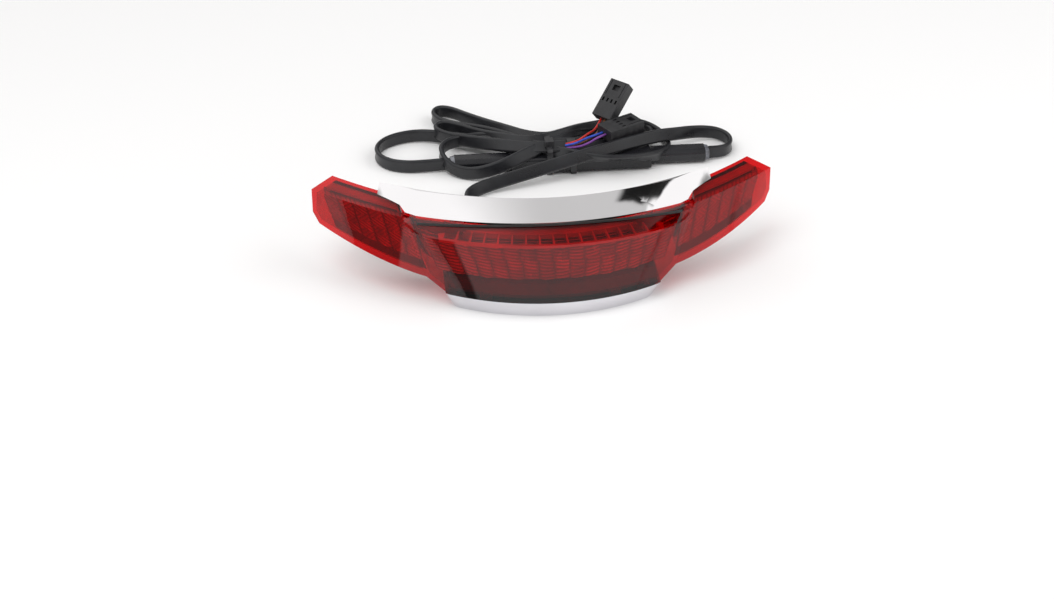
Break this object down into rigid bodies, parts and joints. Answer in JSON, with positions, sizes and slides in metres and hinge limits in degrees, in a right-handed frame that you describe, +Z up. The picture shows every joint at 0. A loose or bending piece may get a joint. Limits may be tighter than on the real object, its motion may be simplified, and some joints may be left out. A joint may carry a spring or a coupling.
{
  "type": "motorcycle tail light",
  "caption": "Wrap-round LED tail light for a motorcycle fender: clear red bow-fronted lens with swept-back wings, bright visor and trim, black housing and tied pigtail harness.",
  "frame": {"origin": "centre of the light's box, without its harness, on its flat base", "axes": "+X to the right seen from behind the motorcycle, along the light's width; +Y forward into the fender; +Z up"},
  "size_m": [0.3087, 0.2853, 0.0641],
  "materials": {
    "red_lens": "clear red polycarbonate, polished",
    "black_housing": "moulded black ABS, light grain",
    "bright_chrome": "bright plated trim",
    "seal_rubber": "soft black rubber",
    "red_optic": "red prismatic inner optic",
    "metallised": "vacuum-metallised reflector",
    "dark_shroud": "smooth black shroud",
    "red_grid": "red egg-crate grid",
    "board_mask": "green solder mask",
    "lamp_package": "white LED packages",
    "component_black": "small black components",
    "screw_steel": "zinc-plated steel screws",
    "insert_brass": "machined brass inserts",
    "cable_jacket": "black PVC cable jacket, satin",
    "heat_shrink": "black heat-shrink sleeve",
    "glue_seal": "translucent adhesive sleeve end",
    "tie_nylon": "black nylon cable tie",
    "wire_red": "red wire insulation",
    "wire_brown": "brown wire insulation",
    "wire_blue": "blue wire insulation",
    "wire_violet": "violet wire insulation",
    "connector_nylon": "black moulded nylon",
    "terminal_tin": "tin-plated terminals"
  },
  "bodies": {
    "root": {"lens": "red_lens", "lens_seal": "seal_rubber", "housing": "black_housing", "top_visor": "bright_chrome", "bottom_trim": "bright_chrome", "centre_optic": "red_optic", "centre_reflector": "metallised", "lower_shroud": "dark_shroud", "top_cell_grid": "red_grid", "left_wing_optic": "red_optic", "right_wing_optic": "red_optic", "left_wing_reflector": "metallised", "right_wing_reflector": "metallised", "centre_led_board": "board_mask", "left_led_board": "board_mask", "right_led_board": "board_mask", "centre_leds": "lamp_package", "left_leds": "lamp_package", "right_leds": "lamp_package", "board_components": "component_black", "board_screws": "screw_steel", "board_links": "wire_red", "fender_inserts": "insert_brass", "visor_screws": "screw_steel", "trim_screws": "screw_steel", "breather_vent": "seal_rubber", "cable_grommet": "seal_rubber", "board_pigtail": "cable_jacket", "lead_cable": "cable_jacket", "loop_cable": "cable_jacket", "control_module": "heat_shrink", "left_module_sleeve": "heat_shrink", "right_module_sleeve": "heat_shrink", "left_sleeve_seal": "glue_seal", "right_sleeve_seal": "glue_seal", "long_tie": "tie_nylon", "short_tie": "tie_nylon", "cable_hank": "cable_jacket", "front_loop_cable": "cable_jacket", "sheath_end": "cable_jacket", "connector_a": "connector_nylon", "connector_b": "connector_nylon", "terminals_a": "terminal_tin", "terminals_b": "terminal_tin", "red_wire": "wire_red", "brown_wire": "wire_brown", "blue_wire": "wire_blue", "violet_wire": "wire_violet"}
  },
  "joints": []
}
